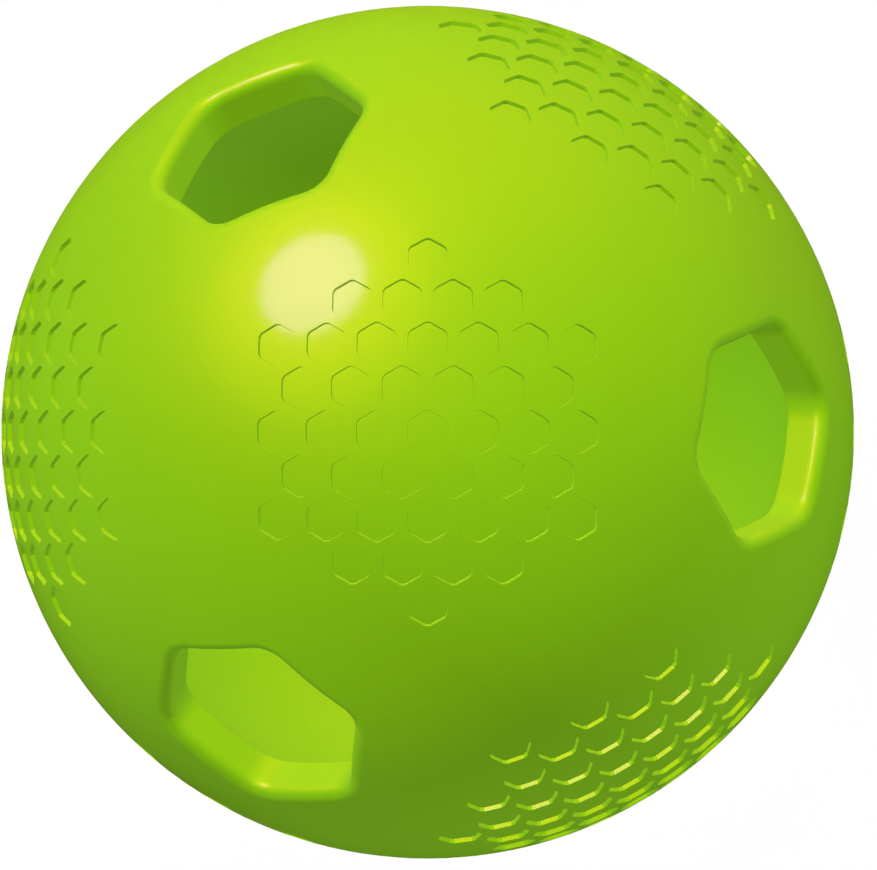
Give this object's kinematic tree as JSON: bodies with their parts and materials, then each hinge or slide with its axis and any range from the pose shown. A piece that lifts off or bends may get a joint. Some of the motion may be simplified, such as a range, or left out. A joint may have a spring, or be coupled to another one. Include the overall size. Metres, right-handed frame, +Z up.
{
  "type": "foam baseball",
  "caption": "Hollow lime-green foam practice ball the size of a baseball, with hexagonal openings through its wall and fields of small sunk hexagons between them.",
  "frame": {"origin": "centre of the ball", "axes": "each axis runs through the middle of a hexagonal opening; +Z up, with the ball standing on the lip of the lower opening; the halves part on the plane z = 0"},
  "size_m": [0.0714, 0.0714, 0.0714],
  "materials": {
    "skinned_foam": "smooth moulded foam skin with a satin sheen",
    "cured_adhesive": "clear yellowish cured adhesive"
  },
  "bodies": {
    "root": {"upper_half_shell": "skinned_foam", "lower_half_shell": "skinned_foam", "adhesive_bead_1": "cured_adhesive", "adhesive_bead_2": "cured_adhesive", "adhesive_bead_3": "cured_adhesive", "adhesive_bead_4": "cured_adhesive"}
  },
  "joints": []
}
